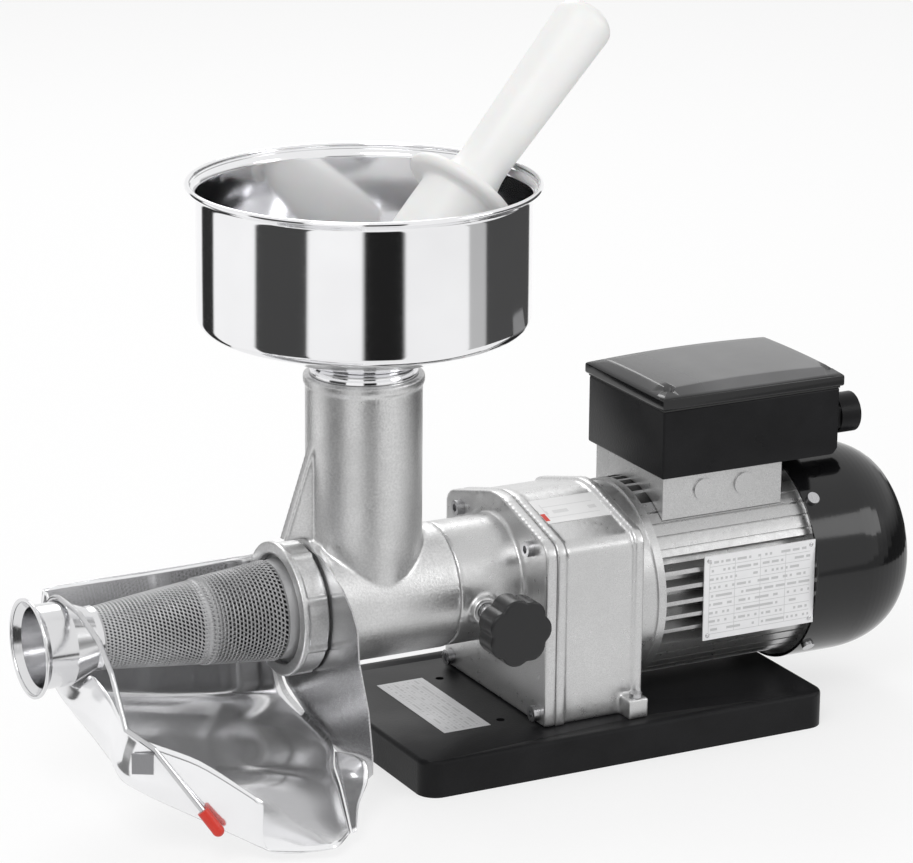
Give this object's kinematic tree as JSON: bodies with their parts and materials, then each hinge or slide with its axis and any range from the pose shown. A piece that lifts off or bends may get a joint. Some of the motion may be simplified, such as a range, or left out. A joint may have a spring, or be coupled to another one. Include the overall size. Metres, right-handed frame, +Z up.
{
  "type": "electric tomato strainer",
  "caption": "Geared motor driven tomato strainer with steel hopper, perforated cone, drip tray and white pusher.",
  "frame": {"origin": "middle of the base underside, on the floor", "axes": "+X along the screw to the motor, +Z up, -Y the side of the lock knob"},
  "size_m": [0.6582, 0.2822, 0.5127],
  "materials": {
    "base_black": "satin",
    "rubber_black": "matt",
    "label_silver": "satin",
    "cast_grey": "satin silver",
    "cast_alu": "cast, satin",
    "sheet_steel": "polished",
    "screw_steel": "zinc plated",
    "gear_brass": "machined",
    "bush_bronze": "machined",
    "shaft_steel": "ground",
    "seal_brown": "matt",
    "bare_iron": "bare laminations",
    "copper": "lacquered winding",
    "motor_grey": "satin",
    "frame_grey": "cast, matt",
    "plastic_black": "satin black",
    "plastic_box": "grained black",
    "plate_grey": "printed rating plate, left bare",
    "white_plastic": "white",
    "grey_plastic": "off white",
    "knob_black": "satin",
    "cap_red": "red",
    "gasket_grey": "matt",
    "block_brown": "moulded"
  },
  "bodies": {
    "machine": {"base_plate": "base_black", "base_pads": "rubber_black", "base_label": "label_silver", "gearbox_housing": "cast_grey", "gearbox_front_cover": "cast_grey", "cover_screws": "screw_steel", "base_screws": "screw_steel", "foot_screws": "screw_steel", "gearbox_label": "plate_grey", "feed_body": "cast_alu", "auger_bush": "bush_bronze", "screen_cone": "sheet_steel", "waste_spout": "sheet_steel", "output_bearings": "shaft_steel", "shaft_seals": "seal_brown", "intermediate_bearings": "shaft_steel", "motor_bearings": "shaft_steel", "motor_front_bell": "motor_grey", "stator_core": "bare_iron", "stator_windings": "copper", "motor_frame": "frame_grey", "motor_rear_shield": "motor_grey", "tie_bolts": "screw_steel", "fan_cowl": "plastic_black", "cowl_screws": "screw_steel", "terminal_pedestal": "motor_grey", "knockout_plugs": "motor_grey", "terminal_box": "plastic_box", "box_gasket": "gasket_grey", "terminal_lid": "plastic_black", "lid_screws": "screw_steel", "capacitor": "grey_plastic", "terminal_block": "block_brown", "cable_gland": "plastic_box", "gland_nut": "plastic_box", "rating_plate": "plate_grey"},
    "auger_drive": {"auger": "grey_plastic", "drive_shaft": "shaft_steel", "output_gear": "gear_brass"},
    "countershaft": {"intermediate_shaft": "shaft_steel", "intermediate_gear": "gear_brass"},
    "rotor": {"rotor_shaft": "shaft_steel", "rotor_core": "bare_iron", "motor_pinion": "shaft_steel", "cooling_fan": "plastic_box"},
    "feed_hopper": {"hopper": "sheet_steel"},
    "feed_pusher": {"pusher": "white_plastic"},
    "retaining_ring": {"ring_nut": "cast_alu"},
    "juice_tray": {"drip_tray": "sheet_steel", "splash_shield": "sheet_steel", "tray_hook": "sheet_steel"},
    "tray_clip": {"wire_clip": "screw_steel", "clip_tip": "cap_red"},
    "knob": {"lock_knob": "knob_black", "knob_stud": "shaft_steel"}
  },
  "joints": [
    {"name": "rotor_turn", "type": "hinge", "parent": "machine", "child": "rotor", "pos_m": [0.1, 0, 0.1], "axis": [1, 0, 0], "continuous": true},
    {"name": "countershaft_turn", "type": "hinge", "parent": "machine", "child": "countershaft", "pos_m": [0, 0.03059, 0.083], "axis": [1, 0, 0], "continuous": true},
    {"name": "screw_turn", "type": "hinge", "parent": "machine", "child": "auger_drive", "pos_m": [-0.1, 0, 0.116], "axis": [1, 0, 0], "continuous": true},
    {"name": "hopper_lift", "type": "slide", "parent": "machine", "child": "feed_hopper", "axis": [0, 0, 1], "range_m": [0, 0.06]},
    {"name": "pusher_lift", "type": "slide", "parent": "feed_hopper", "child": "feed_pusher", "axis": [0, 0, 1], "range_m": [0, 0.15]},
    {"name": "ring_turn", "type": "hinge", "parent": "machine", "child": "retaining_ring", "pos_m": [-0.215, 0, 0.116], "axis": [1, 0, 0], "continuous": true},
    {"name": "tray_swing", "type": "hinge", "parent": "machine", "child": "juice_tray", "pos_m": [-0.2, 0, 0.116], "axis": [1, 0, 0], "range_deg": [-20, 0]},
    {"name": "clip_swing", "type": "hinge", "parent": "juice_tray", "child": "tray_clip", "pos_m": [-0.38, 0, 0.116], "axis": [1, 0, 0], "range_deg": [-60, 0]},
    {"name": "knob_turn", "type": "hinge", "parent": "machine", "child": "knob", "pos_m": [-0.088, -0.08, 0.108], "axis": [0, 1, 0], "continuous": true}
  ],
  "couplings": [
    {"joint": "countershaft_turn", "follows": "rotor_turn", "ratio": -0.25},
    {"joint": "screw_turn", "follows": "rotor_turn", "ratio": 0.071429}
  ]
}
